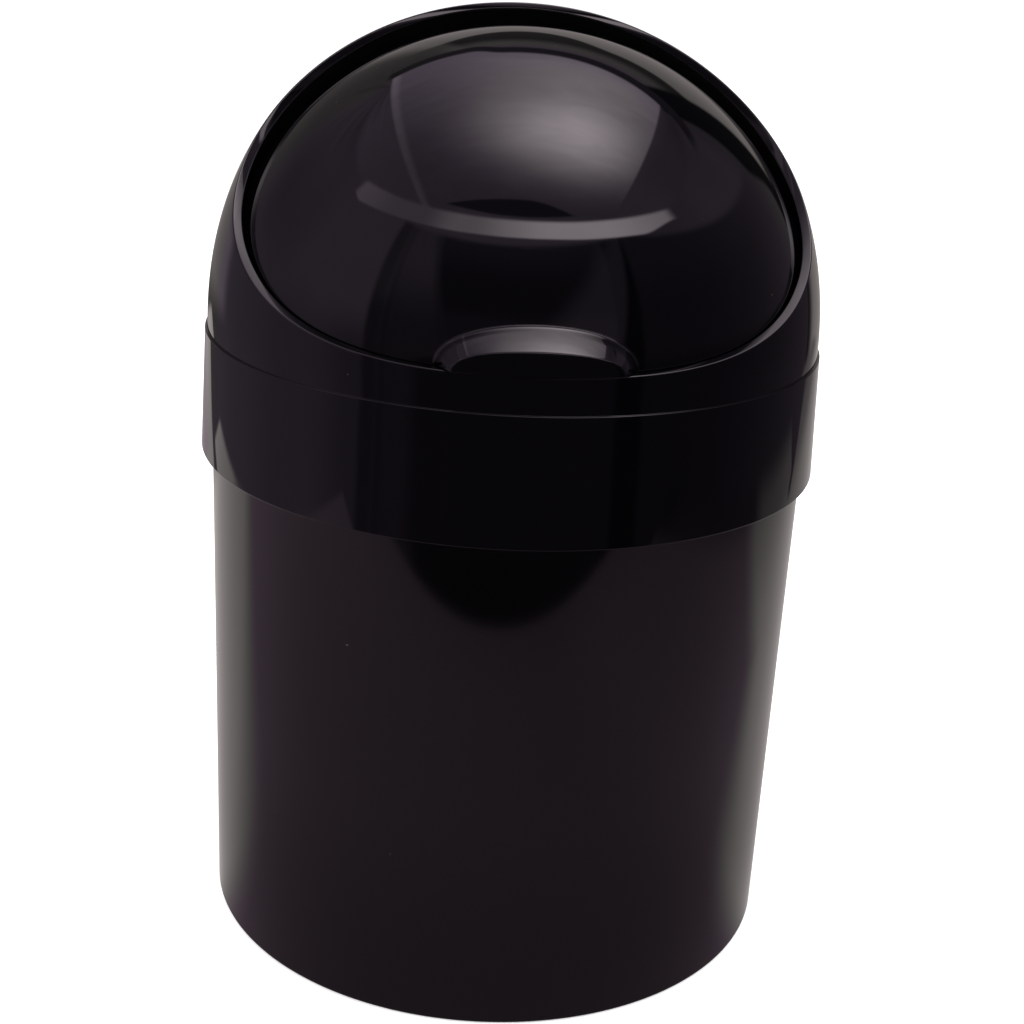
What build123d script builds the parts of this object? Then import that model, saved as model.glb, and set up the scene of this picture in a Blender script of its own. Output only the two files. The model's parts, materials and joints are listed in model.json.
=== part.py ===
from build123d import *
import os
from math import acos, asin, atan2, cos, degrees, hypot, radians, sin

# Countertop swing-lid bin, in millimetres.  +Z is up, the tab side faces -Y,
# and the origin is the middle of the foot ring on the counter.

# Bucket
shoulder_radius = 63.7      # outer wall just under the skirt of the lid
bucket_height = 124.5
bucket_draft = 0.8          # how much narrower the foot is than the shoulder
bucket_wall = 1.6
floor_thickness = 2.0
foot_ring_height = 1.0
foot_ring_width = 5.0
foot_rounding = 1.5
neck_step = 0.3             # the mouth, under the skirt, is set in by this
neck_slope_height = 1.5
mouth_rounding = 0.3

# Lid housing: skirt, ledge and roof
skirt_lap = 18.7            # how far the skirt hangs below the bucket's mouth
skirt_stand = 2.35          # how far it stands out from the bucket's shoulder
skirt_draft = 0.9
skirt_wall = 1.6
skirt_flare_height = 2.5
skirt_rounding = 0.5
skirt_clearance = 0.3
shoulder_cover = 1.0        # the shoulder ends this far up inside the skirt
collar_rise = 6.9           # from the bucket's mouth to the foot of the roof
roof_step = 0.85
roof_wall = 1.4
roof_crown_rise = 3.9       # the roof is this much taller than its radius
roof_power = 2.139          # exponent of the roof's superellipse, 2 would be an ellipse
ledge_thickness = 1.5
ledge_clearance = 0.45

# Mouth of the roof: one Bezier curve in side view, carried across the lid
mouth_front_rise = 7.1      # front edge above the foot of the roof
mouth_front_slope = -2.1
mouth_front_reach = 29.4
mouth_front_overshoot = 3.2  # the curve starts this far in front of the roof
mouth_back_depth = 17.35
mouth_back_slope = 68.4
mouth_back_reach = 30.15
mouth_edge_rounding = 0.45

# Swing flap: a shell turned about the hinge line
hinge_rise = 0.9            # hinge line above the foot of the roof
flap_gap = 1.3              # between flap and housing at the front
flap_side_gap = 0.6         # the same at the hinge, if the curve went on to it
flap_power = 2.04
flap_wall = 1.5
flap_front_lap = 3.5        # the front edge hides this far below the mouth's edge
flap_rear_lap = 4.1         # degrees that the rear edge reaches in under the roof
ear_cut = 2.8               # each side is cut flat this far in, as an ear
ear_hub_rim = 3.0           # plastic round the head of the hinge pin

# Thumb tab on the flap, resting over the front of the mouth
tab_rest_gap = 0.45
tab_overhang = 1.7          # how far it stands out past the roof
tab_sink = 4.6
tab_half_width = 19.6
tab_height = 10.1
tab_side_bevel = 6.4
tab_top_bevel = 5.0
tab_rounding = 0.7

# Hinge pins
pin_radius = 3.0
pin_head_rim = 2.0
pin_head_thickness = 1.6
pin_running_clearance = 0.05
pin_press_clearance = 0.01
pin_end_gap = 0.3
boss_wall = 3.5
boss_face_gap = 0.3
boss_skin = 0.9             # plastic left between the blind hole and the outside

# Radii that follow
foot_radius = shoulder_radius - bucket_draft
neck_radius = shoulder_radius - neck_step
skirt_inner_radius = neck_radius + skirt_clearance
skirt_bottom_radius = shoulder_radius + skirt_stand
skirt_top_radius = skirt_bottom_radius - skirt_draft
roof_radius = skirt_top_radius - roof_step
collar_inner_radius = roof_radius - roof_wall
flap_radius = collar_inner_radius - flap_gap
flap_half_width = collar_inner_radius - flap_side_gap
pin_head_radius = pin_radius + pin_head_rim
ear_hub_radius = pin_head_radius + ear_hub_rim
boss_radius = pin_radius + boss_wall
tab_front_radius = roof_radius + tab_overhang
far = 2 * skirt_bottom_radius

# Heights that follow
skirt_bottom_height = bucket_height - skirt_lap
shoulder_height = skirt_bottom_height + shoulder_cover
roof_foot_height = bucket_height + collar_rise
roof_height = roof_radius + roof_crown_rise
mouth_front_height = roof_foot_height + mouth_front_rise
mouth_back_share = (1 - (mouth_back_depth / roof_radius) ** roof_power) ** (1 / roof_power)
mouth_back_height = roof_foot_height + roof_height * mouth_back_share
hinge_height = roof_foot_height + hinge_rise
hinge_axis = Axis((0, 0, hinge_height), (-1, 0, 0))
tab_bottom_height = mouth_front_height + tab_rest_gap

# Places along the hinge line, and the flap's reach in degrees above the level of the hinge
ear_face = flap_half_width - ear_cut
ear_inner_face = ear_face - flap_wall
boss_face = ear_face + boss_face_gap
hole_end = roof_radius - boss_skin
ledge_radius = hypot(ear_face, ear_hub_radius) + ledge_clearance
flap_front_rise = mouth_front_height - flap_front_lap - hinge_height
flap_first_angle = degrees(asin(flap_front_rise / flap_radius))
flap_last_angle = degrees(atan2(mouth_back_height - hinge_height, -mouth_back_depth)) + flap_rear_lap


def superellipse(width, height, power, first_turn, last_turn, steps):
    """Points (width * c, height * s) with |c|^power + |s|^power = 1, between two turns in degrees."""
    points = []
    for i in range(steps + 1):
        turn = radians(first_turn + (last_turn - first_turn) * i / steps)
        c = abs(cos(turn)) ** (2 / power)
        s = abs(sin(turn)) ** (2 / power)
        points.append((width * c if cos(turn) > 0 else -width * c, height * s))
    return points


def ring(outline):
    """The solid that a closed outline in the XZ plane makes when turned about Z."""
    return revolve(Plane.XZ * make_face(outline), Axis.Z)


def x_cylinder(radius, start, end, side):
    """A cylinder on the hinge line, from side * start out to side * end."""
    middle = side * (start + end) / 2
    return Pos(middle, 0, hinge_height) * Rot(0, 90, 0) * Cylinder(radius, end - start)


def circles_at(solid, index):
    """The round edges of a turned solid, at its lowest (0) or highest (-1) level."""
    return solid.edges().filter_by(GeomType.CIRCLE).group_by(Axis.Z)[index]


def bin_body():
    wall_taper = (shoulder_radius - foot_radius) / shoulder_height
    inner_foot_radius = foot_radius - bucket_wall
    floor_top = foot_ring_height + floor_thickness
    recess_radius = foot_radius - foot_rounding - foot_ring_width
    outline = Polyline(
        (0, foot_ring_height),
        (recess_radius, foot_ring_height),
        (recess_radius + foot_ring_height, 0),
        (foot_radius, 0),
        (shoulder_radius, shoulder_height),
        (neck_radius, shoulder_height + neck_slope_height),
        (neck_radius, bucket_height),
        (inner_foot_radius + wall_taper * bucket_height, bucket_height),
        (inner_foot_radius + wall_taper * floor_top, floor_top),
        (0, floor_top),
        close=True,
    )
    bucket = ring(outline)
    bucket = fillet(circles_at(bucket, 0).sort_by(SortBy.RADIUS)[-1], foot_rounding)
    return fillet(circles_at(bucket, -1), mouth_rounding)


def mouth_cutter():
    """Everything in front of and above the mouth's curve, right across the lid."""
    front = Vector(-far / 2, mouth_front_height)
    start = Vector(-roof_radius - mouth_front_overshoot, mouth_front_height)
    back = Vector(mouth_back_depth, mouth_back_height)
    front_way = Vector(1, 0).rotate(Axis.Z, mouth_front_slope)
    back_way = Vector(1, 0).rotate(Axis.Z, mouth_back_slope)
    beyond = back + back_way * far / 4
    curve = Bezier(start, start + front_way * mouth_front_reach, back - back_way * mouth_back_reach, back)
    rest = Polyline(back, beyond, (front.X, beyond.Y), front, start)
    face = Plane.YZ * make_face([curve, *rest.edges()])
    return extrude(face, far / 2, both=True)


def roof_curve(radius, height):
    points = superellipse(radius, height, roof_power, 0, 90, 10)
    return Spline([(u, roof_foot_height + v) for u, v in points], tangents=[(0, 1), (-1, 0)])


def lid_housing():
    roof_inner_height = roof_height - roof_wall
    ledge_top = bucket_height + ledge_thickness
    flare_radius = skirt_bottom_radius - skirt_wall
    outer_roof = roof_curve(roof_radius, roof_height)
    inner_roof = roof_curve(collar_inner_radius, roof_inner_height)
    crown = Line(outer_roof @ 1, inner_roof @ 1)
    skirt = Polyline(
        (collar_inner_radius, roof_foot_height),
        (collar_inner_radius, ledge_top),
        (ledge_radius, ledge_top),
        (ledge_radius, bucket_height),
        (skirt_inner_radius, bucket_height),
        (skirt_inner_radius, skirt_bottom_height + skirt_flare_height),
        (flare_radius, skirt_bottom_height),
        (skirt_bottom_radius, skirt_bottom_height),
        (skirt_top_radius, roof_foot_height),
        (roof_radius, roof_foot_height),
    )
    whole = ring([outer_roof, inner_roof, crown, *skirt.edges()])
    whole = fillet(circles_at(whole, 0).sort_by(SortBy.RADIUS)[-1], skirt_rounding)
    cutter = mouth_cutter()
    housing = whole - cutter
    mouth_edges = new_edges(whole, cutter, combined=housing)
    housing = fillet(mouth_edges, mouth_edge_rounding)
    for side in (-1, 1):
        housing += x_cylinder(boss_radius, boss_face, hole_end + boss_skin / 2, side)
        housing -= x_cylinder(pin_radius + pin_press_clearance, boss_face, hole_end, side)
    return housing


def flap_lune(inset, first_angle, last_angle):
    """The solid between the hinge line and the flap's curve set in by inset, over the given angles."""
    end = ear_face - inset
    half_width = flap_half_width - inset
    turn = degrees(acos((end / half_width) ** (flap_power / 2)))
    points = superellipse(half_width, flap_radius - inset, flap_power, turn, 180 - turn, 16)
    curve = Spline(points)
    base = Polyline(curve @ 1, (-end, 0), (end, 0), curve @ 0)
    tilt = radians(first_angle)
    level = Plane((0, 0, hinge_height), x_dir=(1, 0, 0), z_dir=(0, -sin(tilt), -cos(tilt)))
    face = level * make_face([curve, *base.edges()])
    return revolve(face, hinge_axis, last_angle - first_angle)


def thumb_tab():
    """A half-oval boss that narrows forwards, with a level underside above the mouth's edge."""
    sections = []
    for depth, half_width, height in (
        (flap_radius - tab_sink, tab_half_width, tab_height),
        (tab_front_radius, tab_half_width - tab_side_bevel, tab_height - tab_top_bevel),
    ):
        place = Plane((0, -depth, tab_bottom_height), x_dir=(1, 0, 0), z_dir=(0, -1, 0))
        sections.append(place * Ellipse(half_width, height).face())
    tab = loft(sections, ruled=True)
    tab &= Pos(0, 0, hinge_height) * Cylinder(tab_front_radius, far)
    brow = tab.faces().sort_by(Axis.Y)[0].edges()
    tab = fillet(brow, tab_rounding)
    return split(tab, Plane.XY.offset(tab_bottom_height), keep=Keep.TOP)


def swing_flap():
    shell = flap_lune(0, flap_first_angle, flap_last_angle)
    hollow = flap_lune(flap_wall, flap_first_angle - 10, flap_last_angle + 10)
    flap = shell + thumb_tab() - hollow
    for side in (-1, 1):
        flap += x_cylinder(ear_hub_radius, ear_inner_face, ear_face, side)
        flap -= x_cylinder(pin_radius + pin_running_clearance, ear_inner_face, ear_face, side)
    return flap


def pivot_pin(side):
    head_end = ear_inner_face - pin_end_gap
    head = x_cylinder(pin_head_radius, head_end - pin_head_thickness, head_end, side)
    shank = x_cylinder(pin_radius, head_end, hole_end - pin_end_gap, side)
    return head + shank


os.makedirs("parts", exist_ok=True)
export_step(bin_body(), "parts/bin_body.step")
export_step(lid_housing(), "parts/lid_housing.step")
export_step(swing_flap(), "parts/swing_flap.step")
export_step(pivot_pin(-1), "parts/pivot_pin_left.step")
export_step(pivot_pin(1), "parts/pivot_pin_right.step")
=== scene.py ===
"""A countertop bin with a swing lid: its finished surfaces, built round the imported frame, in metres."""

import json
import math

import bmesh
import bpy
import numpy as np
from mathutils import Matrix, Vector


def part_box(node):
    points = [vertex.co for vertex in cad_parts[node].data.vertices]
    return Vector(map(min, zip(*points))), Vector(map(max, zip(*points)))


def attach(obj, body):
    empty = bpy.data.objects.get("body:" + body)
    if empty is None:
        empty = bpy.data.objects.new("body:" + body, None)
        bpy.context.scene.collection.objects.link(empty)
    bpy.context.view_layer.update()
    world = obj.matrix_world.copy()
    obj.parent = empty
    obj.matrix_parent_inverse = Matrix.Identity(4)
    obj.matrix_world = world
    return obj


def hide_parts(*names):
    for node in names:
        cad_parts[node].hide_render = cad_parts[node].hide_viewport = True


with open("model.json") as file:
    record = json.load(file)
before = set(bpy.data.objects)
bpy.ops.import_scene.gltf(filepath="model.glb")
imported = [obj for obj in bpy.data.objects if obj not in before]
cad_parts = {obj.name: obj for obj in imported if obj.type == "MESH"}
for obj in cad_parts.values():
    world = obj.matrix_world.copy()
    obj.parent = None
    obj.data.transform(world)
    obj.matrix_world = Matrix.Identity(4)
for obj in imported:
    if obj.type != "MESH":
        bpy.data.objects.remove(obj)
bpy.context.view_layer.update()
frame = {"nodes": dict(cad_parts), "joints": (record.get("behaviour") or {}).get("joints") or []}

MM = 0.001

# Sizes that the frame gives
_, body_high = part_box("bin_body")
_, flap_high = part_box("swing_flap")
hinge_height = next(j["pos_m"][2] for j in frame["joints"] if j["name"] == "flap_swing")
shoulder_radius = body_high.x
bucket_height = body_high.z
ear_face = flap_high.x

# Bucket
bucket_draft = 0.8 * MM
bucket_wall = 1.6 * MM
floor_thickness = 2.0 * MM
foot_ring_height = 1.0 * MM
foot_ring_width = 5.0 * MM
foot_rounding = 0.6 * MM
neck_step = 0.3 * MM
neck_slope_height = 1.5 * MM
rim_rounding = 0.3 * MM
floor_corner = 4.0 * MM

# Lid housing
skirt_lap = 18.7 * MM
skirt_stand = 2.31 * MM
skirt_draft = 0.9 * MM
skirt_wall = 1.6 * MM
skirt_flare_height = 2.5 * MM
skirt_rounding = 0.2 * MM
skirt_clearance = 0.3 * MM
shoulder_cover = 1.0 * MM
collar_rise = 6.9 * MM
roof_step = 0.49 * MM
roof_wall = 1.75 * MM
roof_crown_rise = 3.4 * MM
roof_crown_wall = 1.3 * MM
roof_power = 2.139
roof_inner_power = 2.11
ledge_thickness = 1.5 * MM
ledge_radius = 60.5 * MM
step_rounding = 0.2 * MM
lip_rounding = 0.3 * MM
mouth_tilt_front = 0.2
mouth_tilt_side = 1.3
mouth_tilt_rise = 2.2
boss_radius = 6.5 * MM
boss_face_gap = 0.3 * MM
boss_root = 0.3 * MM
ring_rounding = 0.3 * MM
pin_radius = 3.0 * MM
pin_clearance = 0.05 * MM

# The mouth's edge in side view: a Bezier curve from the front of the roof to its back
mouth_front_rise = 7.1 * MM
mouth_front_slope = math.radians(-2.1)
mouth_front_reach = 29.4 * MM
mouth_front_overshoot = 2.85 * MM
mouth_back_depth = 17.35 * MM
mouth_back_slope = math.radians(68.4)
mouth_back_reach = 30.15 * MM

# Swing flap and its tab
flap_gap = 1.0 * MM
flap_side_gap = 0.35 * MM
flap_power = 2.04
flap_wall = 1.5 * MM
flap_front_lap = 3.5 * MM
flap_rear_lap = math.radians(4.1)
ear_root = 6.0 * MM
ear_recess = 0.1 * MM
ear_hub_radius = 8.0 * MM
tab_rest_gap = 0.45 * MM
tab_overhang = 1.33 * MM
tab_sink = 4.9 * MM
tab_half_width = 19.2 * MM
tab_height = 8.9 * MM
tab_side_bevel = 4.8 * MM
tab_top_bevel = 4.4 * MM
tab_brow = 0.4 * MM
tab_fillet = 0.6 * MM
tab_crown = 0.5 * MM
tab_foot_depth = 0.02 * MM
tab_heart_depth = 0.3 * MM
tab_under_depth = 0.4 * MM

# How finely the meshes are cut
bucket_segments = 512
housing_segments = 400
roof_outer_rows = 86
roof_inner_rows = 47
flap_rows = 148
flap_half_columns = 120
ring_segments = 72
tab_columns = 90
tab_under_columns = 22
mouth_curve_steps = 2000
mouth_search_steps = 3000
tab_search_steps = 600

# What follows from them
foot_radius = shoulder_radius - bucket_draft
neck_radius = shoulder_radius - neck_step
skirt_bottom_radius = shoulder_radius + skirt_stand
skirt_top_radius = skirt_bottom_radius - skirt_draft
skirt_bottom_height = bucket_height - skirt_lap
shoulder_height = skirt_bottom_height + shoulder_cover
roof_radius = skirt_top_radius - roof_step
roof_height = roof_radius + roof_crown_rise
roof_foot_height = bucket_height + collar_rise
collar_inner_radius = roof_radius - roof_wall
mouth_front_height = roof_foot_height + mouth_front_rise
mouth_back_share = (1 - (mouth_back_depth / roof_radius) ** roof_power) ** (1 / roof_power)
mouth_back_height = roof_foot_height + roof_height * mouth_back_share
flap_radius = collar_inner_radius - flap_gap
flap_half_width = collar_inner_radius - flap_side_gap
tab_front_radius = roof_radius + tab_overhang
flap_front_angle = math.asin((mouth_front_height - flap_front_lap - hinge_height) / flap_radius)
flap_rear_angle = math.atan2(mouth_back_height - hinge_height, -mouth_back_depth) + flap_rear_lap


# ---------------------------------------------------------------- meshes

def grid_faces(rows, columns, wrap_rows=False, wrap_columns=False):
    """Quads between neighbours of a rows by columns grid of points, numbered row by row."""
    i = np.arange(rows if wrap_rows else rows - 1)[:, None]
    j = np.arange(columns if wrap_columns else columns - 1)[None]
    i2, j2 = (i + 1) % rows, (j + 1) % columns
    corners = np.broadcast_arrays(i * columns + j, i2 * columns + j, i2 * columns + j2, i * columns + j2)
    return np.stack(corners, -1).reshape(-1, 4).tolist()


def mesh_piece(name, parts):
    """One smooth-shaded object at the origin from several (points, faces) pairs."""
    points, faces = [], []
    for part_points, part_faces in parts:
        start = sum(len(p) for p in points)
        points.append(part_points)
        faces += [[corner + start for corner in face] for face in part_faces]
    mesh = bpy.data.meshes.new(name)
    mesh.from_pydata(np.concatenate(points), [], faces)
    merged = bmesh.new()
    merged.from_mesh(mesh)
    bmesh.ops.remove_doubles(merged, verts=merged.verts, dist=1e-6)
    merged.to_mesh(mesh)
    merged.free()
    mesh.shade_smooth()
    piece = bpy.data.objects.new(name, mesh)
    bpy.context.scene.collection.objects.link(piece)
    return piece


def unit(vectors):
    """Vectors along the last axis, each divided by its length."""
    return vectors / np.linalg.norm(vectors, axis=-1, keepdims=True)


def rounded(corners, radii, hold=0.25, steps=6):
    """An open profile through the corners, each turned into an arc of its radius.

    An arc of radius r at a corner that turns by t starts and ends r * tan(t / 2) from the corner. A point
    a little beyond each end of the arc holds the straight stretches flat."""
    corners = np.array(corners, float)
    path = [corners[0]]
    for before, corner, after, radius in zip(corners, corners[1:], corners[2:], radii):
        back, on = unit(before - corner), unit(after - corner)
        turn = math.pi - math.acos(back @ on)
        reach = radius * math.tan(turn / 2)
        middle = corner + unit(back + on) * radius / math.cos(turn / 2)
        share = np.linspace(0, 1, steps + 1)[:, None]
        start, end = corner + back * reach - middle, corner + on * reach - middle
        arc = (start * np.sin((1 - share) * turn) + end * np.sin(share * turn)) / math.sin(turn)
        path.append(corner + back * (reach + radius * hold))
        path.extend(middle + arc)
        path.append(corner + on * (reach + radius * hold))
    path.append(corners[-1])
    return np.array(path)


def turned(profile, segments):
    """The closed surface of a profile of (radius, height) turned about Z.

    Point (i, j) is (r_j cos a_i, r_j sin a_i, z_j). A profile that starts and ends on the axis is closed
    there with a fan round each pole, and any other profile is closed on itself."""
    profile = np.array(profile)
    turn = np.linspace(0, 2 * math.pi, segments, endpoint=False)[:, None]
    poles = abs(profile[0, 0]) < 1e-9
    ring = profile[1:-1] if poles else profile
    radius, height = ring[:, 0][None], ring[:, 1][None]
    points = np.stack(np.broadcast_arrays(radius * np.cos(turn), radius * np.sin(turn), height), -1)
    points = points.reshape(-1, 3)
    columns = len(ring)
    faces = grid_faces(segments, columns, True, not poles)
    if poles:
        low, high = len(points), len(points) + 1
        points = np.vstack([points, [0, 0, profile[0, 1]], [0, 0, profile[-1, 1]]])
        i = np.arange(segments) * columns
        j = (np.arange(segments) + 1) % segments * columns
        faces += np.stack([np.full(segments, low), j, i], -1).tolist()
        faces += np.stack([np.full(segments, high), i + columns - 1, j + columns - 1], -1).tolist()
    return points, faces


def side_ring(near, far, inner, outer, rounding, side):
    """A flat ring round the hinge line, from near to far out along it on one side, with rounded edges."""
    middle = (near + far) / 2
    corners = [(outer, middle), (outer, far), (inner, far), (inner, near), (outer, near), (outer, middle)]
    points, faces = turned(rounded(corners, [rounding] * 4)[:-1], ring_segments)
    out, y, rise = points[:, 2], points[:, 0], points[:, 1]
    return np.stack([side * out, side * y, hinge_height + rise], -1), faces


def superellipse(width, height, power, turn):
    """(width * c, height * s), where |c|^power + |s|^power = 1 at each turn."""
    c, s = np.cos(turn), np.sin(turn)
    return width * np.sign(c) * abs(c) ** (2 / power), height * np.sign(s) * abs(s) ** (2 / power)


def bend(start, corner, end, steps=6):
    """Rows of a quadratic curve from start to end that leaves and arrives along the lines to the corner."""
    share = np.linspace(0, 1, steps)
    return [(1 - t) ** 2 * start + 2 * t * (1 - t) * corner + t**2 * end for t in share]


def lip(outer, outer_way, inner, inner_way):
    """The rounded edge of a wall, from its outer surface across to its inner one.

    outer and inner are the sharp corners, and the ways point along each surface towards its corner. Each
    corner becomes a quadratic curve that starts lip_rounding before the corner and ends that far past it."""
    across = unit(inner - outer) * lip_rounding
    outer_back, inner_back = outer_way * lip_rounding, inner_way * lip_rounding
    first = bend(outer - outer_back, outer, outer + across)
    last = bend(inner - across, inner, inner - inner_back)
    return np.stack([outer - 1.2 * outer_back, *first, *last, inner - 1.2 * inner_back], 1)


# ---------------------------------------------------------------- the bucket

def bucket_profile():
    """(radius, height) from the underside's middle, round the wall and its rim, to the floor's middle."""
    taper = bucket_draft / shoulder_height
    inner_foot = foot_radius - bucket_wall
    floor_top = foot_ring_height + floor_thickness
    recess = foot_radius - foot_rounding - foot_ring_width
    corners = [
        (0, foot_ring_height),
        (recess, foot_ring_height),
        (recess + foot_ring_height, 0),
        (foot_radius, 0),
        (shoulder_radius, shoulder_height),
        (neck_radius, shoulder_height + neck_slope_height),
        (neck_radius, bucket_height),
        (inner_foot + taper * bucket_height, bucket_height),
        (inner_foot + taper * floor_top, floor_top),
        (0, floor_top),
    ]
    slight = 0.5 * rim_rounding
    return rounded(corners, [slight, slight, foot_rounding, *[rim_rounding] * 4, floor_corner])


# ---------------------------------------------------------------- the lid housing

def mouth_edge_height(y):
    """The height of the mouth's edge at each y: its Bezier curve, and beyond the back its last tangent."""
    start = np.array([-roof_radius - mouth_front_overshoot, mouth_front_height])
    back = np.array([mouth_back_depth, mouth_back_height])
    front_way = np.array([math.cos(mouth_front_slope), math.sin(mouth_front_slope)])
    back_way = np.array([math.cos(mouth_back_slope), math.sin(mouth_back_slope)])
    handles = [start, start + front_way * mouth_front_reach, back - back_way * mouth_back_reach, back]
    t = np.linspace(0, 1, mouth_curve_steps)[:, None]
    curve = sum(math.comb(3, k) * (1 - t) ** (3 - k) * t**k * handle for k, handle in enumerate(handles))
    beyond = mouth_back_height + (y - mouth_back_depth) * math.tan(mouth_back_slope)
    return np.where(y < mouth_back_depth, np.interp(y, curve[:, 0], curve[:, 1]), beyond)


def roof_points(form, azimuth, turn):
    """Points of the roof: a superellipse of that radius, height and power in each upright plane about Z."""
    r, rise = superellipse(*form, turn)
    x, y, z = r * np.cos(azimuth), r * np.sin(azimuth), roof_foot_height + rise
    return np.stack(np.broadcast_arrays(x, y, z), -1)


def mouth_turn(form, azimuth):
    """The turn at which each meridian of the roof first reaches the mouth's edge."""
    turn = np.linspace(0, math.pi / 2, mouth_search_steps)[None]
    points = roof_points(form, azimuth[:, None], turn)
    over = points[..., 2] - mouth_edge_height(points[..., 1])
    last = np.argmax(over > 0, axis=1)
    row = np.arange(len(azimuth))
    low, high = over[row, last - 1], over[row, last]
    return turn[0, last - 1] - low / (high - low) * (turn[0, last] - turn[0, last - 1])


def roof_surface(form, azimuth, top, rows):
    """The roof along each meridian up to the turn at its top: rows that start just above its foot and stop
    short of the rounding at the mouth's edge, the point of the edge itself, and the way up to it."""
    edge = roof_points(form, azimuth, top)
    length = np.linalg.norm(edge - roof_points(form, azimuth, 0 * top), axis=-1)
    start, stop = 2 * step_rounding / length, 1 - 1.5 * lip_rounding / length
    share = start[:, None] + (stop - start)[:, None] * np.linspace(0, 1, rows)
    points = roof_points(form, azimuth[:, None], top[:, None] * share)
    return points, edge, unit(edge - roof_points(form, azimuth, top * 0.998))


def skirt_profile():
    """(radius, height) from the foot of the roof outside, round the skirt, to the foot of the roof inside."""
    skirt_inner = neck_radius + skirt_clearance
    flare_radius = skirt_bottom_radius - skirt_wall
    ledge_top = bucket_height + ledge_thickness
    corners = [
        (roof_radius, roof_foot_height + 1.5 * step_rounding),
        (roof_radius, roof_foot_height),
        (skirt_top_radius, roof_foot_height),
        (skirt_bottom_radius, skirt_bottom_height),
        (flare_radius, skirt_bottom_height),
        (skirt_inner, skirt_bottom_height + skirt_flare_height),
        (skirt_inner, bucket_height),
        (ledge_radius, bucket_height),
        (ledge_radius, ledge_top),
        (collar_inner_radius, ledge_top),
        (collar_inner_radius, roof_foot_height),
    ]
    small = 0.5 * step_rounding
    radii = [small, step_rounding, skirt_rounding, skirt_rounding, small, small, small, small, step_rounding]
    return rounded(corners, radii)


def housing_wall():
    """Roof, skirt and ledge as one closed wall: a loop of points at each azimuth about Z.

    The tilt of the flat of the mouth's edge is 0 where it is level across the bin and 1 where it is square to
    the roof. It is mouth_tilt_side at the sides and behind them. In front of them mouth_tilt_rise times the
    sine of the azimuth is added, which is negative there, down to mouth_tilt_front."""
    azimuth = np.linspace(0, 2 * math.pi, housing_segments, endpoint=False)
    outer_form = (roof_radius, roof_height, roof_power)
    inner_form = (collar_inner_radius, roof_height - roof_crown_wall, roof_inner_power)
    outer_top, inner_top = mouth_turn(outer_form, azimuth), mouth_turn(inner_form, azimuth)
    tilt = np.clip(mouth_tilt_side + mouth_tilt_rise * np.sin(azimuth), mouth_tilt_front, mouth_tilt_side)
    inner_top = inner_top + tilt * (outer_top - inner_top)
    outer, outer_edge, outer_way = roof_surface(outer_form, azimuth, outer_top, roof_outer_rows)
    inner, inner_edge, inner_way = roof_surface(inner_form, azimuth, inner_top, roof_inner_rows)
    edge = lip(outer_edge, outer_way, inner_edge, inner_way)
    skirt = skirt_profile()
    radius, height = skirt[:, 0][None], skirt[:, 1][None]
    turn = azimuth[:, None]
    skirt = np.stack(np.broadcast_arrays(radius * np.cos(turn), radius * np.sin(turn), height), -1)
    loop = np.concatenate([edge, inner[:, ::-1], skirt[:, ::-1], outer], axis=1)
    return loop.reshape(-1, 3), grid_faces(housing_segments, loop.shape[1], True, True)


def housing_parts():
    """The wall, and a boss round each pin: a flat ring from just off the ear to just inside the roof."""
    parts = [housing_wall()]
    for side in (-1, 1):
        near, far = ear_face + boss_face_gap, collar_inner_radius + boss_root
        parts.append(side_ring(near, far, pin_radius, boss_radius, ring_rounding, side))
    return parts


# ---------------------------------------------------------------- the flap

def lune_points(x, reach, angle):
    """Points at x, at a reach from the hinge line, turned up from the front by an angle."""
    return np.stack(np.broadcast_arrays(x, -reach * np.cos(angle), hinge_height + reach * np.sin(angle)), -1)


def flap_section(inset):
    """x and reach from the hinge line, from one ear across to the other, set in from the outer face.

    The curve is a superellipse cut off by the flat face of each ear."""
    end = ear_face - ear_recess - inset
    half_width, radius = flap_half_width - inset, flap_radius - inset
    first = math.acos((end / half_width) ** (flap_power / 2))
    turn = first + (math.pi / 2 - first) * np.linspace(0, 1, flap_half_columns) ** 1.15
    x, reach = superellipse(half_width, radius, flap_power, turn)
    ear = ear_root + (reach[0] - ear_root) * np.array([0, 0.3, 0.6, 0.8, 0.9, 0.95, 0.98])
    half_x, half_reach = np.append(np.full(len(ear), end), x), np.append(ear, reach)
    return np.append(-half_x, half_x[-2::-1]), np.append(half_reach, half_reach[-2::-1])


def flap_leaf(inset):
    """One side of the flap's wall: rows that stop short of the rounded edges at its front and rear, and the
    two edges themselves."""
    x, reach = (values[:, None] for values in flap_section(inset))
    short = 2 * lip_rounding / reach
    along = np.linspace(0, 1, flap_rows)
    angle = flap_front_angle + short + (flap_rear_angle - flap_front_angle - 2 * short) * along
    ends = np.array([[flap_front_angle, flap_rear_angle]])
    return lune_points(x, reach, angle), lune_points(x, reach, ends)


def flap_shell():
    """The lune of the flap as one closed wall: a loop round both edges at each place along the section."""
    outer, outer_edges = flap_leaf(0)
    inner, inner_edges = flap_leaf(flap_wall)
    on = np.array([0, math.sin(flap_front_angle), math.cos(flap_front_angle)])
    front = lip(inner_edges[:, 0], -on, outer_edges[:, 0], -on)
    on = np.array([0, math.sin(flap_rear_angle), math.cos(flap_rear_angle)])
    rear = lip(outer_edges[:, 1], on, inner_edges[:, 1], on)
    loop = np.concatenate([outer, rear, inner[:, ::-1], front], axis=1)
    loop = np.roll(loop, front.shape[1] // 2, axis=1)
    rows, columns = loop.shape[:2]
    faces = grid_faces(rows, columns, False, True)
    half = np.arange(columns // 2)
    for row, order in ((0, 1), (rows - 1, -1)):
        a, b = row * columns + half, row * columns + columns - 1 - half
        faces += np.stack([a[:-1], a[1:], b[1:], b[:-1]], -1)[:, ::order].tolist()
    return loop.reshape(-1, 3), faces


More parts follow.
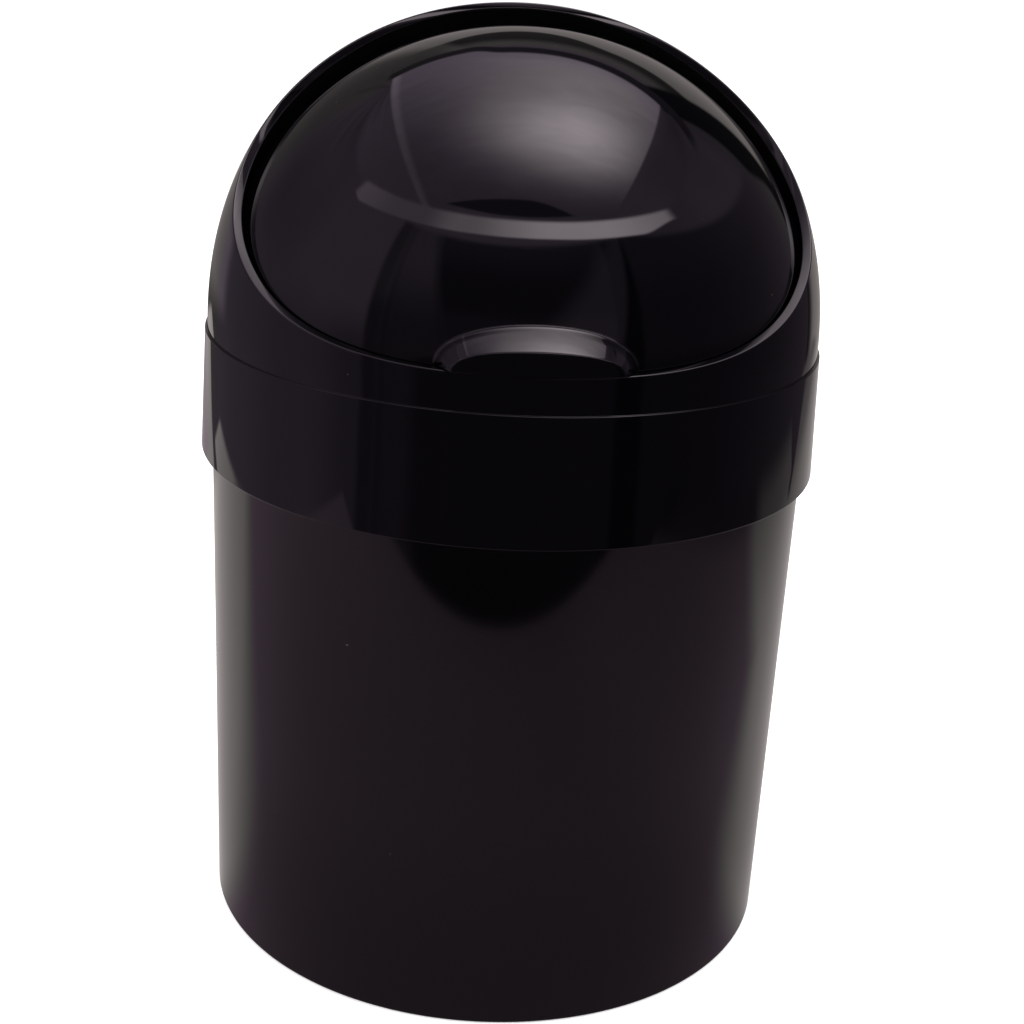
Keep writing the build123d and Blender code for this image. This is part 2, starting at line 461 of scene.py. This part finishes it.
def onto_flap(points, depth):
    """Each point drawn along its line from the middle of the hinge to the flap's outer face, less a depth.

    On the face, (|x| / half width)^power + (reach / radius)^power = 1."""
    middle = np.array([0, 0, hinge_height])
    x, y, z = np.moveaxis(points - middle, -1, 0)
    level = (abs(x) / flap_half_width) ** flap_power + (np.hypot(y, z) / flap_radius) ** flap_power
    share = level ** (-1 / flap_power) * (1 - depth / flap_radius)
    return middle + (points - middle) * share[..., None], share


def first_crossing(values, grid):
    """Where each row of values first rises above zero, on the grid of places along the rows."""
    last = np.argmax(values > 0, axis=1)
    row = np.arange(len(values))
    low, high = values[row, last - 1], values[row, last]
    return grid[last - 1] - low / (high - low) * (grid[last] - grid[last - 1])


def tab_surface():
    """The thumb tab: half-oval outlines that shrink forwards, filleted onto the flap, with a level underside.

    At a share w of the way forward the outline is a half ellipse of half width tab_half_width - w *
    tab_side_bevel and height tab_height - w * tab_top_bevel, crowned by 4 w (1 - w) * tab_crown. It starts
    where it leaves the flap, ends on an upright cylinder of tab_front_radius, and closes over that face.
    Each outline is closed along the underside by a straight line."""
    bottom = mouth_front_height + tab_rest_gap
    back = flap_radius - tab_sink
    length = tab_front_radius - back
    edge = np.array([0, 0.015, 0.04, 0.08])
    turn = np.concatenate([edge, np.linspace(0.13, math.pi - 0.13, tab_columns), math.pi - edge[::-1]])

    def outline(w):
        """The half ellipse at a share w of the way forward."""
        crown = 4 * w * (1 - w) * tab_crown
        half_width = tab_half_width - w * tab_side_bevel + crown
        height = tab_height - w * tab_top_bevel + crown
        at = turn if np.ndim(w) < 2 else turn[:, None]
        c, s = np.cos(at), np.sin(at)
        return np.stack(np.broadcast_arrays(half_width * c, -back - w * length, bottom + height * s), -1)

    def on_front(points, share):
        """Points of the outline's front end, shrunk to a share and laid on the upright cylinder."""
        x, z = points[:, 0] * share, bottom + (points[:, 2] - bottom) * share
        return np.stack([x, -np.sqrt(tab_front_radius**2 - x**2), z], -1)

    grid = np.linspace(0, 1, tab_search_steps)
    sheets = outline(grid[None])
    start = first_crossing(1 - onto_flap(sheets, 0)[1], grid)
    stop = first_crossing(np.hypot(sheets[..., 0], sheets[..., 1]) - tab_front_radius, grid)
    crease, brow = outline(start), outline(stop)
    away = unit(np.stack([np.cos(turn) / tab_half_width, 0 * turn, np.sin(turn) / tab_height], -1))
    foot = onto_flap(crease + away * tab_fillet, tab_foot_depth)[0]
    heart = onto_flap(np.array([[0, -flap_radius, bottom + tab_height / 2]]), tab_heart_depth)[0]
    rows = [onto_flap(heart + (foot - heart) * t, tab_heart_depth)[0] for t in (0, 0.4, 0.8, 0.95)]
    side_start, side_stop = start + tab_fillet / length, stop - tab_brow / length
    rows += bend(foot, crease, outline(side_start))
    rows += [outline(side_start + (side_stop - side_start) * t) for t in np.linspace(0, 1, 14)[1:-1]]
    inward = 1 - tab_brow / np.hypot(brow[:, 0], brow[:, 2] - bottom)
    rows += bend(outline(side_stop), brow, on_front(brow, inward), 9)
    rows += [on_front(brow, inward * t) for t in (0.96, 0.85, 0.65, 0.4, 0.15, 0.04, 0.01, 0)]
    over = np.stack(rows)
    over[:, (0, -1), 2] = bottom
    over[1:, :, 2] = np.maximum(over[1:, :, 2], bottom)
    share = np.concatenate([[0.01, 0.03], np.linspace(0.08, 0.92, tab_under_columns), [0.97, 0.99]])
    share = share[None, :, None]
    under = over[:, -1:] * (1 - share) + over[:, :1] * share
    raised, ratio = onto_flap(under, tab_under_depth)
    under = np.where(ratio[..., None] > 1, raised, under)
    under[..., 2] = bottom
    points = np.concatenate([over, under], axis=1)[:, ::-1]
    return points.reshape(-1, 3), grid_faces(*points.shape[:2], False, True)


def flap_parts():
    """The lune, its tab, and a hub round each pin: a flat ring as thick as the ear."""
    parts = [flap_shell(), tab_surface()]
    for side in (-1, 1):
        near, far = ear_face - flap_wall - ear_recess, ear_face
        parts.append(side_ring(near, far, pin_radius + pin_clearance, ear_hub_radius, ring_rounding, side))
    return parts


# ---------------------------------------------------------------- shader maths

class Signal:
    """A socket of a node tree. Arithmetic on it adds Math nodes."""

    def __init__(self, paint, socket):
        self.paint = paint
        self.socket = socket

    def other(self, name):
        """Another output of the same node."""
        return Signal(self.paint, self.socket.node.outputs[name])

    def __add__(self, value):
        return self.paint.math("ADD", self, value)

    def __sub__(self, value):
        return self.paint.math("SUBTRACT", self, value)

    def __mul__(self, value):
        return self.paint.math("MULTIPLY", self, value)

    def __truediv__(self, value):
        return self.paint.math("DIVIDE", self, value)

    def __rsub__(self, value):
        return self.paint.math("SUBTRACT", value, self)

    __radd__ = __add__
    __rmul__ = __mul__


class Paint:
    """A node tree being filled."""

    def __init__(self, tree):
        tree.nodes.clear()
        self.tree = tree

    def node(self, kind, settings, sockets):
        """A new node's first output. Its settings come first, then the value or link of each socket."""
        node = self.tree.nodes.new(kind)
        for name, value in settings.items():
            setattr(node, name, value)
        for name, value in sockets.items():
            if isinstance(value, Signal):
                self.tree.links.new(value.socket, node.inputs[name])
            else:
                node.inputs[name].default_value = value
        return Signal(self, node.outputs[0]) if node.outputs else None

    def math(self, operation, *values):
        """A Math node on one value or more."""
        return self.node("ShaderNodeMath", {"operation": operation}, dict(enumerate(values)))

    def step(self, value, start, end):
        """0 before start, 1 after end, smooth between. It falls where start is above end."""
        sockets = {"Value": value, "From Min": start, "From Max": end}
        return self.node("ShaderNodeMapRange", {"interpolation_type": "SMOOTHSTEP"}, sockets)

    def noise(self, vector, scale, detail=2.0, roughness=0.5, distortion=0.0):
        """Smooth noise about 0.5, with that many cells to the metre."""
        sockets = {"Vector": vector, "Scale": scale, "Detail": detail}
        sockets.update({"Roughness": roughness, "Distortion": distortion})
        return self.node("ShaderNodeTexNoise", {}, sockets)

    def mapped(self, vector, turn=(0, 0, 0), scale=(1, 1, 1), move=(0, 0, 0)):
        """A place scaled, then turned, then moved."""
        sockets = {"Vector": vector, "Rotation": turn, "Scale": scale, "Location": move}
        return self.node("ShaderNodeMapping", {}, sockets)

    def blend(self, share, first, second):
        """A mix of two colours."""
        sockets = {0: share, 6: first, 7: second}
        return self.node("ShaderNodeMix", {"data_type": "RGBA"}, sockets).other(2)

    def scaled(self, colour, share):
        """A colour times a number."""
        return self.node("ShaderNodeVectorMath", {"operation": "SCALE"}, {0: colour, "Scale": share})

    def glow(self, colour):
        """A surface that gives light of that colour."""
        return self.node("ShaderNodeEmission", {}, {"Color": colour, "Strength": 1.0})

    def towards_view(self, vector):
        """A direction or place turned about Z so that the camera is in front of it."""
        sockets = {"Vector": vector, "Angle": view_turn}
        return self.node("ShaderNodeVectorRotate", {"rotation_type": "Z_AXIS"}, sockets)


# ---------------------------------------------------------------- materials

def new_paint(name):
    """A new material and the Paint for its nodes."""
    material = bpy.data.materials.new(name)
    material.use_nodes = True
    return material, Paint(material.node_tree)


gloss_colour = (0.0005, 0.0005, 0.0009, 1)
gloss_dust = (0.035, 0.034, 0.036, 1)
satin_colour = (0.0004, 0.0004, 0.0004, 1)
satin_dust = (0.05, 0.046, 0.048, 1)
inner_colour = (0.028, 0.0275, 0.029, 1)
pin_colour = (0.010, 0.010, 0.011, 1)
pin_pale = (0.016, 0.016, 0.017, 1)
plastic_ior = 1.5


def object_place(paint):
    """The place on the piece, in metres from the middle of the foot ring."""
    return paint.node("ShaderNodeTexCoord", {}, {}).other("Object")


def finish_plastic(material, paint, colour, roughness, bump):
    """The material's shader and output."""
    sockets = {"Base Color": colour, "Roughness": roughness, "IOR": plastic_ior, "Normal": bump}
    shader = paint.node("ShaderNodeBsdfPrincipled", {}, sockets)
    paint.node("ShaderNodeOutputMaterial", {}, {"Surface": shader})
    return material


def dust(paint, place, density, size, share):
    """Specks: a spot of that radius, as a share of a cell, in a few of the cells of a Voronoi pattern."""
    cells = paint.node("ShaderNodeTexVoronoi", {}, {"Vector": place, "Scale": density, "Randomness": 1.0})
    pick = paint.node("ShaderNodeSeparateColor", {}, {"Color": cells.other("Color")})
    chosen = paint.math("LESS_THAN", pick, share)
    wide = pick.other("Green") * size + 0.3 * size
    return chosen * paint.math("LESS_THAN", cells, wide)


def hairlines(paint, place, turn, fine, share):
    """Thin faint marks along one direction: the peaks of a noise that is stretched along it."""
    streaks = paint.noise(paint.mapped(place, turn, (0.03, 1.0, 1.0)), fine, 1.0)
    patches = paint.noise(place, 40.0, 1.0)
    return paint.step(streaks, 1 - share, 1.04 - share) * paint.step(patches, 0.45, 0.62)


def hypotenuse(paint, a, b):
    """The length of the long side of a right triangle."""
    return paint.math("SQRT", a * a + b * b)


def within(paint, across, along, half_width, height, power):
    """1 inside the superellipse of that half width and height, and 0 outside."""
    level = paint.math("POWER", across / half_width, power) + paint.math("POWER", along / height, power)
    return paint.step(level, 1.0, 0.995)


def inside_bucket(paint, x, y, z):
    """1 on the inner side of the bucket's tapered wall and on its floor, 0 on the outer side."""
    depth = foot_radius + z * (bucket_draft / shoulder_height) - hypotenuse(paint, x, y)
    return paint.step(depth, 0.85 * bucket_wall, 0.95 * bucket_wall)


def inside_roof(paint, x, y, z):
    """1 on the inner side of the roof and of the ledge under it, 0 on the outer side."""
    rise = paint.math("MAXIMUM", z - roof_foot_height, 0)
    radius, height = roof_radius - 0.9 * roof_wall, roof_height - 0.9 * roof_crown_wall
    return within(paint, hypotenuse(paint, x, y), rise, radius, height, roof_inner_power)


def inside_flap(paint, x, y, z):
    """1 on the inner side of the flap, 0 on the outer side."""
    reach = hypotenuse(paint, y, z - hinge_height)
    half_width, radius = flap_half_width - 0.9 * flap_wall, flap_radius - 0.9 * flap_wall
    return within(paint, paint.math("ABSOLUTE", x), reach, half_width, radius, flap_power)


def inner_side(paint, place, inside):
    """One of the masks above, at each place."""
    x = paint.node("ShaderNodeSeparateXYZ", {}, {"Vector": place})
    return inside(paint, x, x.other("Y"), x.other("Z"))


def gloss_black(name, seed, inside):
    """Polished moulded plastic: a faint ripple from the mould, hairline marks in the gloss, a little dust.

    The inner side is as it came from the mould, duller and a little paler."""
    material, paint = new_paint(name)
    place = object_place(paint)
    inner = inner_side(paint, place, inside)
    place = paint.mapped(place, move=(seed, 0.7 * seed, 0.3 * seed))
    marks = hairlines(paint, place, (0.2, 0.5, 0.3), 900.0, 0.3)
    marks = marks + hairlines(paint, place, (0.9, -0.4, 1.4), 1100.0, 0.3)
    specks = dust(paint, place, 260.0, 0.035, 0.16)
    haze = paint.noise(place, 28.0, 4.0, 0.6)
    roughness = 0.02 + 0.03 * haze + 0.05 * marks + 0.5 * specks + (0.34 + 0.1 * haze) * inner
    ripple = paint.noise(place, 95.0, 1.0)
    colour = paint.blend(specks, gloss_colour, gloss_dust)
    colour = paint.blend(inner, colour, inner_colour)
    bump = paint.node("ShaderNodeBump", {}, {"Strength": 0.12, "Distance": 0.08 * MM, "Height": ripple})
    return finish_plastic(material, paint, colour, roughness, bump)


def satin_black(name):
    """The bucket's plastic: a fine even grain, rubbed a little smoother and rougher in places, and dust.

    The inner side is duller and a little paler."""
    material, paint = new_paint(name)
    place = object_place(paint)
    inner = inner_side(paint, place, inside_bucket)
    grain = paint.noise(place, 2600.0, 2.0, 0.6)
    rub = paint.noise(paint.mapped(place, scale=(1, 1, 0.35)), 22.0, 4.0, 0.55)
    specks = dust(paint, place, 210.0, 0.045, 0.1)
    roughness = 0.035 + 0.03 * rub + 0.02 * grain + 0.4 * specks + (0.36 + 0.1 * rub) * inner
    colour = paint.blend(specks, satin_colour, satin_dust)
    colour = paint.blend(inner, colour, inner_colour)
    bump = paint.node("ShaderNodeBump", {}, {"Strength": 0.1, "Distance": 0.02 * MM, "Height": grain})
    return finish_plastic(material, paint, colour, roughness, bump)


def pin_black(name):
    """Plain moulded plastic with turning marks round the hinge line."""
    material, paint = new_paint(name)
    place = object_place(paint)
    grain = paint.noise(place, 1500.0, 2.0)
    rings = paint.noise(paint.mapped(place, scale=(1, 0.02, 0.02)), 4000.0, 1.0)
    colour = paint.blend(grain, pin_colour, pin_pale)
    bump = paint.node("ShaderNodeBump", {}, {"Strength": 0.2, "Distance": 0.03 * MM, "Height": grain})
    return finish_plastic(material, paint, colour, 0.35 + 0.15 * rings, bump)


# ---------------------------------------------------------------- the pieces on their bodies

def dress(name, parts, material, body, node):
    """Make the piece that stands in for a node of the CAD, and let it ride on the node's body."""
    piece = mesh_piece(name, parts)
    piece.data.materials.append(material)
    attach(piece, body)
    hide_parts(node)


bucket_finish = satin_black("satin_black")
dress("bucket", [turned(bucket_profile(), bucket_segments)], bucket_finish, "bin", "bin_body")
hood_finish = gloss_black("gloss_black_hood", 0.0, inside_roof)
dress("hood", housing_parts(), hood_finish, "lid", "lid_housing")
flap_finish = gloss_black("gloss_black_flap", 0.4, inside_flap)
dress("flap", flap_parts(), flap_finish, "flap", "swing_flap")
pin_finish = pin_black("pin_black")
for pin in ("pivot_pin_left", "pivot_pin_right"):
    for material_slot in frame["nodes"][pin].material_slots:
        material_slot.material = pin_finish


# ---------------------------------------------------------------- studio

view_turn = math.radians(4.7)
view_elevation = math.radians(19.95)
view_roll = math.radians(3.11)
view_distance = 389.8 * MM
view_target = (1.87 * MM, 0, 89.48 * MM)
view_sensor = 36
view_lens = 61.58

# The tent's main edges, in degrees of azimuth from the front and of elevation
left_wall_start = -168
left_gap_start = -54
left_curtain_start = -47
right_gap_start = 38
right_wall_start = 48
right_wall_end = 139
ceiling_foot = 41

# The lit cloth of the ceiling and the dark seam behind it, as slopes of the direction sideways and backwards
cloth_left = -0.69
cloth_right = 0.685
cloth_front = -0.66
cloth_back = 1.06
seam_start = 1.03
seam_end = 1.26
fan_place = (-0.67, 0.95)

# The lit hoop, in degrees: its lower and upper edge at its highest point, and how fast they fall to the sides
hoop_middle = -6
hoop_foot_elevation = 44.9
hoop_top_elevation = 52.7
hoop_foot_fall = 0.0012
hoop_top_fall = 0.00125

# Colours of the light
dim_tint = (1.07, 0.84, 1.11, 1)
bright_tint = (1.06, 0.93, 1.01, 1)
back_tint = (1.08, 0.975, 0.95, 1)
floor_front_tint = (1.15, 0.85, 1.08, 1)
floor_back_tint = (1.06, 0.97, 0.96, 1)
white = (1, 1, 1, 1)
black = (0, 0, 0, 1)
diffuse_grey = (0.7, 0.7, 0.7, 1)
floor_pale = (0.86, 0.86, 0.86, 1)
floor_glow = (0.45, 0.45, 0.45, 1)

floor_half_size = 4.0
lamp_size = 0.9
lamp_power = 14.0
lamp_place = (0.05, 0.1, 1.1)


def make_camera():
    """Looks at the target from the front, turned about the bin, raised, and rolled."""
    back = Vector((0, -math.cos(view_elevation), math.sin(view_elevation)))
    right = Vector((1, 0, 0))
    up = back.cross(right)
    across = math.cos(view_roll) * right + math.sin(view_roll) * up
    above = math.cos(view_roll) * up - math.sin(view_roll) * right
    place = Vector(view_target) + view_distance * back
    data = bpy.data.cameras.new("camera")
    data.sensor_width = view_sensor
    data.lens = view_lens
    data.clip_start = 0.01
    data.clip_end = 50
    camera = bpy.data.objects.new("camera", data)
    bpy.context.scene.collection.objects.link(camera)
    axes = Matrix((across, above, back)).transposed().to_4x4()
    camera.matrix_world = Matrix.Rotation(-view_turn, 4, "Z") @ Matrix.Translation(place) @ axes
    bpy.context.scene.camera = camera


def tent_walls(paint, azimuth, elevation):
    """What shiny surfaces see round them, by degrees of azimuth from the front and of elevation.

    A grey wall on the left that fades backwards, a darker one on the right with a paler top, the dim front
    between two dark gaps, each with a paler curtain beside it, and the pale way out at the back."""
    def sweep(start, end):
        """0 before one azimuth, 1 after the other."""
        return paint.step(azimuth, start, end)

    def rise(start, end):
        """0 below one elevation, 1 above the other, or the other way round where the first is higher."""
        return paint.step(elevation, start, end)

    def panel(start, end, soft=1.5):
        """1 between two azimuths and 0 outside, with edges that soft."""
        return sweep(start - soft, start + soft) * sweep(end + soft, end - soft)

    low = rise(1, -3)
    over = 1 - low

    # The left wall: dimmer low down and at its front foot, with a paler top and a pale low corner at the back
    left = (0.10 + 0.27 * sweep(-150, -62)) * (0.70 + 0.30 * rise(-4, 14))
    left = left * (0.93 - 0.3 * sweep(-80, -58) * rise(12, -4)) * panel(left_wall_start, left_gap_start)
    left = left - 0.04 * panel(-130, -95, 10) * rise(4, 12)
    left = left + 0.08 * panel(-150, -100, 20) * rise(16, 44)
    corner = 0.18 * panel(left_wall_start, -132, 4) * rise(-13, -9)
    left = left + (corner + 0.04 * panel(-140, -100, 12)) * low

    # The left gap, and the curtain whose free edge leans outwards as it rises
    gap_left = (0.07 + 0.06 * rise(10, 20)) * panel(left_gap_start, left_curtain_start)
    curtain_edge = -34 - 0.3 * (elevation - 42) * over
    curtain_left = (0.08 + 0.14 * rise(8, 34)) * panel(left_curtain_start, curtain_edge, 3)

    # The front, paler high up and just over the horizon and darkest at its foot, and the curtain on its right
    front = 0.03 + 0.055 * rise(26, 44) + 0.03 * rise(19, 13) * over
    front = front * panel(curtain_edge, right_gap_start) * (1 - 0.6 * rise(-18, -27))
    curtain_right = 0.12 * paint.step(azimuth - 0.9 * elevation, -4, 10)
    curtain_right = curtain_right * panel(8, 39 + 0.2 * elevation) * over

    # The right wall, and the paler piece above its slanting top
    right = 0.04 + 0.04 * sweep(60, 130) + 0.025 * rise(14, 34)
    right = right * panel(right_wall_start, right_wall_end + 8 * rise(19, 6) * over) * (1 - 0.35 * low)
    top_right = panel(60, 132, 6) * (0.17 - 0.11 * sweep(95, 128))
    top_right = top_right * paint.step(elevation + 0.25 * (azimuth - 60), 38, 41)

    # The way out: pale up to its top, with a dark strip over the horizon
    back_top = 26 - 6 * sweep(168, 180) - 6 * sweep(-165, -180)
    back = 0.03 + 0.30 * paint.step(elevation - back_top, 1, -1) + 0.15 * rise(29, 36)
    back = back * (rise(3, 8) + low)
    right_side = paint.step(azimuth + 10 * low, 149 + 2.5 * over, 157 - 2.5 * over)
    back = back * (right_side + sweep(-160, -172))
    return 0.01 + left + gap_left + curtain_left + front + curtain_right + right + top_right + back


def lit_cloth(paint, u, v):
    """The light of the ceiling's cloth: a wide spot, a lamp's brighter one, folds, and a pale left edge."""
    def spot(u_middle, v_middle, u_spread, v_spread):
        """e to the minus the squared distance from the middle, counted in spreads."""
        du, dv = (u - u_middle) / u_spread, (v - v_middle) / v_spread
        return paint.math("EXPONENT", 0 - (du * du + dv * dv))

    place = paint.node("ShaderNodeCombineXYZ", {}, {"X": u, "Y": v})
    folds = paint.noise(paint.mapped(place, (0, 0, 0.6), (1.0, 2.6, 1)), 2.6, 4.0, 0.55, 0.9)
    cloth_light = 0.30 + 0.12 * paint.step(v, -0.5, 0.9)
    cloth_light = cloth_light + 1.12 * spot(0.25, 0.50, 0.5, 0.5) + 4.0 * spot(0.24, 0.01, 0.34, 0.29)
    return cloth_light * (0.80 + 0.40 * folds) + 0.25 * paint.step(u, -0.60, -0.65)


def fan_folds(paint, u, v):
    """Folds that spread to the left from the cloth's back left corner: a noise round 0 of the direction from
    it, which dies away with the distance."""
    across, along = u - fan_place[0], v - fan_place[1]
    turn = paint.node("ShaderNodeCombineXYZ", {}, {"X": paint.math("ARCTAN2", across, along), "Y": 0.15 * v})
    reach = across * across + along * along
    fan = (paint.noise(turn, 5.0, 2.0) - 0.5) * paint.step(reach, 0.75, 0.02)
    return fan * paint.step(across, 0.05, -0.02)


def hoop(paint, azimuth, elevation):
    """Where the lit hoop is, and its light.

    Its edges fall by the square of the azimuth from its middle, and its two ends are cut aslant."""
    bow = (azimuth - hoop_middle) * (azimuth - hoop_middle)
    foot = hoop_foot_elevation - hoop_foot_fall * bow
    foot = foot + 2.5 * paint.step(azimuth, 60, 80) + 2.0 * paint.step(azimuth, -82, -90)
    where = paint.step(elevation - foot, 0, 1)
    where = where * paint.step(elevation + hoop_top_fall * bow, hoop_top_elevation, hoop_top_elevation - 1.6)
    where = where * paint.step(azimuth, -90, -86) * paint.step(azimuth, 83, 76)
    light = 0.65 + 0.2 * paint.step(azimuth, -62, -86) + 0.75 * paint.step(azimuth, -48, -28)
    light = light + 1.5 * paint.step(azimuth, -24, 8) + 0.9 * paint.step(azimuth, 0, 22)
    return where, light - 1.6 * paint.step(azimuth, 42, 80)


def tent_light(paint, azimuth, elevation, u, v):
    """The whole tent: its walls, the dim sides of its ceiling, the lit cloth between them with a dark seam
    behind it and a dark opening before it, and the lit hoop. u and v are places on a level ceiling, as slopes
    of the direction to the right and to the back."""
    # What lies round the cloth: the walls, above them the ceiling's sides, and the seam
    sides = 0.34 - 0.16 * paint.step(v, 0.1, 1.0) - 0.10 * paint.step(u, 0.6, 0.8) * paint.step(v, -0.3, 0.2)
    high = paint.step(elevation, ceiling_foot, ceiling_foot + 2.5)
    right_side = paint.math("MAXIMUM", u, 0)
    back_edge = v + 0.35 * right_side * right_side - 0.12 * paint.step(u, -0.1, -0.25)
    seam = paint.step(back_edge, seam_start, seam_start + 0.05)
    seam = seam * paint.step(back_edge, seam_end, seam_end - 0.06) * paint.step(u, -0.75, -0.68)
    seam = seam * paint.step(u, 1.1, 0.9)
    surround = tent_walls(paint, azimuth, elevation) * (1 - high) + sides * high
    surround = surround * (1 - seam) + 0.05 * seam
    surround = surround * (1 + 1.3 * fan_folds(paint, u, v))

    # The cloth
    inside = paint.step(u, cloth_left, cloth_left + 0.025) * paint.step(u, cloth_right, cloth_right - 0.02)
    inside = inside * paint.step(back_edge, cloth_back, cloth_back - 0.06)
    inside = inside * paint.step(v, cloth_front, cloth_front + 0.04)
    light = surround * (1 - inside) + lit_cloth(paint, u, v) * inside

    # The dark opening before it, with a bent foot
    opening_top = -0.575 - 0.10 * paint.step(u, 0.05, 0.5)
    opening_foot = -0.745 + 0.65 * (u - 0.03) * (u - 0.03)
    opening = paint.step(v - opening_top, 0.012, -0.012) * paint.step(v - opening_foot, -0.012, 0.012)
    light = light * (1 - opening) + 0.07 * opening

    where, hoop_light = hoop(paint, azimuth, elevation)
    return light * (1 - where) + hoop_light * where


def make_world():
    """White all round, but shiny surfaces see the tent that the bin stands in.

    The tent's light is mottled a little. It is more violet where it is dim, and warmer at the way out."""
    world = bpy.data.worlds.new("studio")
    world.use_nodes = True
    bpy.context.scene.world = world
    paint = Paint(world.node_tree)
    way = paint.towards_view(paint.node("ShaderNodeTexCoord", {}, {}))
    x = paint.node("ShaderNodeSeparateXYZ", {}, {"Vector": way})
    y, z = x.other("Y"), x.other("Z")
    azimuth = paint.math("ARCTAN2", x, 0 - y) * (180 / math.pi)
    elevation = paint.math("ARCSINE", z) * (180 / math.pi)
    rise = paint.math("MAXIMUM", z, 0.1)
    tent = tent_light(paint, azimuth, elevation, x / rise, y / rise)
    tent = tent * (0.86 + 0.28 * paint.noise(way, 2.2, 4.0, 0.55))
    tint = paint.blend(paint.step(tent, 0.3, 1.5), dim_tint, bright_tint)
    behind = paint.step(paint.math("ABSOLUTE", azimuth), 132, 148) * paint.step(elevation, 40, 34)
    mirrored = paint.scaled(paint.blend(behind, tint, back_tint), tent)

    light = paint.node("ShaderNodeLightPath", {}, {})
    seen = paint.math("MAXIMUM", light.other("Is Camera Ray"), light.other("Is Transmission Ray"))
    plain = paint.blend(seen, diffuse_grey, white)
    colour = paint.blend(light.other("Is Glossy Ray"), plain, mirrored)
    background = paint.node("ShaderNodeBackground", {}, {"Color": colour, "Strength": 1.0})
    paint.node("ShaderNodeOutputWorld", {}, {"Surface": background})


def painted_ground_light(paint, place):
    """The painted light of the tent's ground cloth as shiny surfaces see it, and where it is.

    It is painted brighter behind two slanting lines and painted darker close to the bin as its shadow, and
    has a dark fold and a missing corner on each side at the back."""
    x = paint.node("ShaderNodeSeparateXYZ", {}, {"Vector": place})
    y = x.other("Y")
    reach = paint.node("ShaderNodeVectorMath", {"operation": "LENGTH"}, {0: place}).other("Value")

    # The painted bright part of the lit cloth, behind a slanting line on each side
    left_back = 0.33 - paint.step(y, 0.22, 0.28) * (0.08 + 0.17 * paint.step(x, -0.30, -0.22))
    right_back = 0.28 - 0.09 * paint.step(x, 0.20, 0.30) - 0.05 * paint.step(x, 0.30, 0.36)
    behind = paint.step(y + 0.47 * x, -0.085, -0.035) * paint.step(x, 0.03, -0.03) * left_back
    slant = y - 0.8 * paint.math("MINIMUM", x, 0.19)
    behind = behind + paint.step(slant, -0.12, -0.07) * paint.step(x, -0.03, 0.03) * right_back
    behind = behind * paint.step(y, -0.035, -0.01)

    # The cloth's painted light, which gets dimmer to the right and to the front, and a painted shadow close
    # to the bin
    cloth_light = 0.235 - 0.28 * x + 0.04 * paint.step(x, 0.06, 0.16) - 0.12 * paint.step(x, 0.28, 0.36)
    cloth_light = cloth_light - 0.03 * paint.step(y, -0.20, -0.26) - 0.05 * paint.step(reach, 0.15, 0.07) + behind
    tint = paint.blend(6 * behind, floor_front_tint, floor_back_tint)

    # Where it is: between its edges, but not in its folds or beyond them at the back
    left_fold, right_fold = x + 0.28 * y + 0.24, x - 0.5 * y - 0.238
    folds = paint.step(paint.math("ABSOLUTE", left_fold), 0.013, 0.007)
    folds = (folds + paint.step(paint.math("ABSOLUTE", right_fold), 0.010, 0.004)) * paint.step(y, 0.17, 0.20)
    missing = paint.step(left_fold, 0.004, -0.004) * paint.step(y, 0.235, 0.250)
    missing = missing + paint.step(right_fold, -0.006, 0.002) * paint.step(y - 0.43 * x, 0.058, 0.068)
    missing = paint.math("MINIMUM", missing + folds, 1)
    where = paint.step(y, -0.263, -0.253) * paint.step(y, 0.56, 0.50) * (1 - missing)
    where = where * paint.step(x, -0.375, -0.357) * paint.step(x, 0.455, 0.37)
    return paint.scaled(tint, cloth_light), where


def make_floor():
    """A wide pale sheet. The camera gets a little light from it too, so it is white but for the shadow.

    Shiny surfaces see the ground cloth's painted light and painted shadow on it as a glow, and past that see
    through it to the tent."""
    size = floor_half_size
    points = np.array([[-size, -size, 0], [size, -size, 0], [size, size, 0], [-size, size, 0]])
    floor = mesh_piece("floor", [(points, [[0, 1, 2, 3]])])
    material, paint = new_paint("pale_floor")
    # Shiny surfaces see the cloth's painted light and painted shadow as this glow
    colour, on_cloth = painted_ground_light(paint, paint.towards_view(object_place(paint)))
    clear = paint.node("ShaderNodeBsdfTransparent", {}, {"Color": white})
    mirrored = paint.node("ShaderNodeMixShader", {}, {0: on_cloth, 1: clear, 2: paint.glow(colour)})
    light = paint.node("ShaderNodeLightPath", {}, {})
    plain = paint.node("ShaderNodeBsdfDiffuse", {}, {"Color": floor_pale})
    fill = paint.glow(paint.blend(light.other("Is Camera Ray"), black, floor_glow))
    lit = paint.node("ShaderNodeAddShader", {}, {0: plain, 1: fill})
    shader = paint.node("ShaderNodeMixShader", {}, {0: light.other("Is Glossy Ray"), 1: lit, 2: mirrored})
    paint.node("ShaderNodeOutputMaterial", {}, {"Surface": shader})
    floor.data.materials.append(material)


def make_lamp():
    """One soft lamp above the bin, hidden from reflections, which show the tent's lit ceiling instead."""
    data = bpy.data.lights.new("soft_lamp", "AREA")
    data.shape = "RECTANGLE"
    data.size = lamp_size
    data.size_y = lamp_size
    data.energy = lamp_power
    lamp = bpy.data.objects.new("soft_lamp", data)
    bpy.context.scene.collection.objects.link(lamp)
    lamp.location = lamp_place
    lamp.visible_glossy = False


make_camera()
make_world()
make_floor()
make_lamp()
bpy.context.scene.view_settings.view_transform = "Standard"
